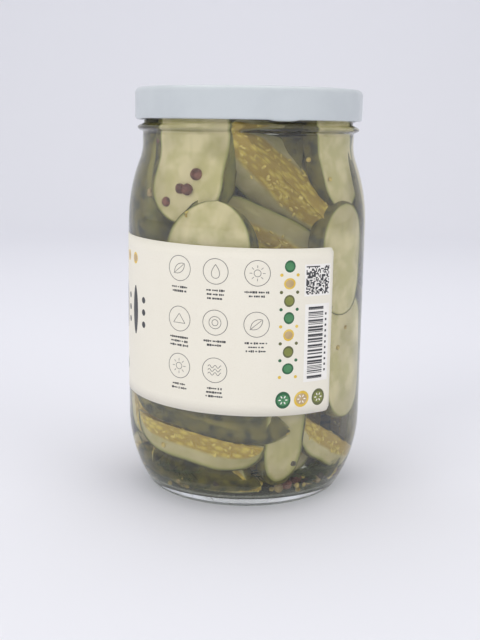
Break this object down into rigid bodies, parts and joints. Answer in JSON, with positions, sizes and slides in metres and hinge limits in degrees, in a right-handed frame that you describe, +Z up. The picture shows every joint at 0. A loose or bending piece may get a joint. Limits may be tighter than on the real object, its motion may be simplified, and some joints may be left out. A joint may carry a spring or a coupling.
{
  "type": "pickle jar",
  "caption": "Round clear glass jar filled with sliced and quartered pickles in brine, closed by a white metal lug lid and wrapped in a paper label.",
  "frame": {"origin": "centre of the foot ring on the surface that the jar stands on", "axes": "+Z up the jar's axis, -Y towards the front, +X to the right seen from the front"},
  "size_m": [0.0956, 0.0958, 0.16],
  "materials": {
    "glass": "clear flint glass",
    "lid_enamel": "white enamel, semi-gloss",
    "label_paper": "cream coated paper, satin",
    "pickles_in_brine": "wet"
  },
  "bodies": {
    "root": {"glass_jar": "glass", "metal_lid": "lid_enamel", "wrap_label": "label_paper", "contents": "pickles_in_brine"}
  },
  "joints": []
}
